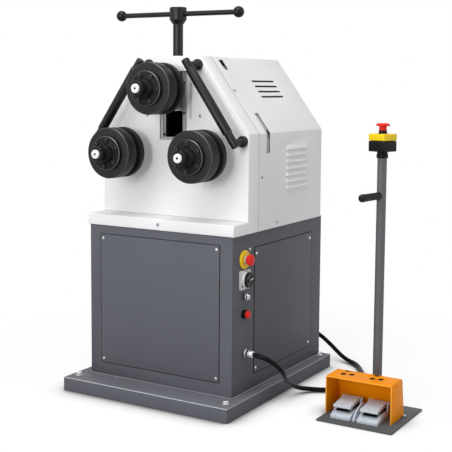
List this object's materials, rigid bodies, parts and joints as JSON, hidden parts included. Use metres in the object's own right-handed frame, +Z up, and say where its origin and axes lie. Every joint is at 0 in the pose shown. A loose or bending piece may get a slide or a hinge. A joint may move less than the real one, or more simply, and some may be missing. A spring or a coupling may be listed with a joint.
{
  "type": "ring roller",
  "caption": "Floor-standing three-roll ring and section bending machine: sloped white hood on a dark cabinet, tee-handle screw for the top roll, and a foot-pedal station on a column.",
  "frame": {"origin": "centre of the plinth's underside, on the floor", "axes": "+Z up; the rolls, the front door and the pedals face -Y; +X to the right as seen from the front, towards the controls and the pedal station"},
  "size_m": [1.067, 0.87, 1.237],
  "materials": {
    "white_paint": "satin powder coat",
    "dark_paint": "satin powder coat",
    "frame_paint": "satin powder coat",
    "black_steel": "satin black oxide",
    "ground_steel": "ground",
    "bearing_steel": "polished",
    "bronze": "turned",
    "cast_housing": "painted",
    "motor_blue": "satin",
    "zinc": "zinc plated",
    "black_plastic": "matte",
    "red_plastic": "gloss",
    "yellow_plastic": "satin",
    "grey_plastic": "matte",
    "chrome": "polished",
    "column_paint": "satin powder coat",
    "orange_paint": "satin powder coat",
    "cast_aluminium": "as cast",
    "cable_sheath": "matte"
  },
  "bodies": {
    "machine": {"plinth": "dark_paint", "plinth_bolts": "zinc", "cabinet_shell": "dark_paint", "front_door": "dark_paint", "side_door": "dark_paint", "rear_panel": "dark_paint", "bed_plate": "frame_paint", "head_frame": "frame_paint", "screw_bridge": "frame_paint", "spindle_nut": "bronze", "guide_strips": "bronze", "hood_shell": "white_paint", "front_panel": "white_paint", "gearbox": "cast_housing", "motor": "motor_blue", "lower_bearings": "bearing_steel", "left_grab_bar": "black_steel", "right_grab_bar": "black_steel", "estop_plate": "yellow_plastic", "switch_plate": "grey_plastic", "key_ring": "chrome", "push_bezel": "black_plastic", "cable_glands": "chrome", "station_plate": "dark_paint", "station_column": "column_paint", "station_grip": "black_plastic", "estop_box": "yellow_plastic", "pedal_guard": "orange_paint", "pedal_base": "cast_aluminium", "side_cable": "cable_sheath", "rear_cable": "cable_sheath"},
    "top_slide": {"slide_block": "ground_steel", "keeper_plate": "ground_steel", "top_bearings": "bearing_steel"},
    "pressure_screw": {"spindle": "ground_steel", "tee_hub": "black_steel", "tee_bar": "black_steel", "tee_knobs": "black_plastic"},
    "top_roll": {"top_shaft": "ground_steel", "top_roll_discs": "black_steel", "top_flange": "black_steel", "top_lock_nut": "black_steel"},
    "left_roll": {"left_shaft": "ground_steel", "left_roll_discs": "black_steel", "left_flange": "black_steel", "left_lock_nut": "black_steel", "left_gear": "ground_steel"},
    "right_roll": {"right_shaft": "ground_steel", "right_roll_discs": "black_steel", "right_flange": "black_steel", "right_lock_nut": "black_steel", "right_gear": "ground_steel"},
    "pinion_drive": {"drive_pinion": "ground_steel"},
    "cabinet_stop": {"estop_button": "red_plastic"},
    "main_switch": {"switch_knob": "black_plastic"},
    "mode_key": {"key_lever": "chrome"},
    "reset_button": {"push_cap": "red_plastic"},
    "station_stop": {"station_mushroom": "red_plastic"},
    "left_foot_pedal": {"left_pedal": "cast_aluminium"},
    "right_foot_pedal": {"right_pedal": "cast_aluminium"}
  },
  "joints": [
    {"name": "slide_travel", "type": "slide", "parent": "machine", "child": "top_slide", "axis": [0, 0, -1], "range_m": [-0.01, 0.06]},
    {"name": "screw_turn", "type": "hinge", "parent": "top_slide", "child": "pressure_screw", "pos_m": [0, -0.157, 1.1], "axis": [0, 0, 1], "range_deg": [-3598, 598]},
    {"name": "top_roll_spin", "type": "hinge", "parent": "top_slide", "child": "top_roll", "pos_m": [0, -0.28, 0.982], "axis": [0, 1, 0], "continuous": true},
    {"name": "left_roll_spin", "type": "hinge", "parent": "machine", "child": "left_roll", "pos_m": [-0.15199, -0.28, 0.779], "axis": [0, 1, 0], "continuous": true},
    {"name": "right_roll_spin", "type": "hinge", "parent": "machine", "child": "right_roll", "pos_m": [0.15199, -0.28, 0.779], "axis": [0, 1, 0], "continuous": true},
    {"name": "pinion_spin", "type": "hinge", "parent": "machine", "child": "pinion_drive", "pos_m": [0, 0.027, 0.729], "axis": [0, 1, 0], "continuous": true},
    {"name": "cabinet_stop_press", "type": "slide", "parent": "machine", "child": "cabinet_stop", "axis": [-1, 0, 0], "range_m": [0, 0.004], "stiffness_N_per_m": 4000, "springref_m": -0.001},
    {"name": "main_switch_turn", "type": "hinge", "parent": "machine", "child": "main_switch", "pos_m": [0.28, -0.196, 0.401], "axis": [-1, 0, 0], "range_deg": [0, 90]},
    {"name": "mode_key_turn", "type": "hinge", "parent": "machine", "child": "mode_key", "pos_m": [0.28, -0.196, 0.348], "axis": [-1, 0, 0], "range_deg": [0, 90]},
    {"name": "reset_button_press", "type": "slide", "parent": "machine", "child": "reset_button", "axis": [-1, 0, 0], "range_m": [0, 0.005], "stiffness_N_per_m": 1000, "springref_m": -0.001},
    {"name": "station_stop_press", "type": "slide", "parent": "machine", "child": "station_stop", "axis": [0, 0, -1], "range_m": [0, 0.004], "stiffness_N_per_m": 4000, "springref_m": -0.001},
    {"name": "left_pedal_press", "type": "hinge", "parent": "machine", "child": "left_foot_pedal", "pos_m": [0.582, -0.065, 0.046], "axis": [1, 0, 0], "range_deg": [0, 6], "stiffness_Nm_per_rad": 20, "springref_deg": -2.86},
    {"name": "right_pedal_press", "type": "hinge", "parent": "machine", "child": "right_foot_pedal", "pos_m": [0.668, -0.065, 0.046], "axis": [1, 0, 0], "range_deg": [0, 6], "stiffness_Nm_per_rad": 20, "springref_deg": -2.86}
  ],
  "couplings": [
    {"joint": "slide_travel", "follows": "screw_turn", "m_per_rad": -0.00095493},
    {"joint": "right_roll_spin", "follows": "left_roll_spin", "ratio": 1},
    {"joint": "pinion_spin", "follows": "left_roll_spin", "ratio": -1.4615}
  ]
}
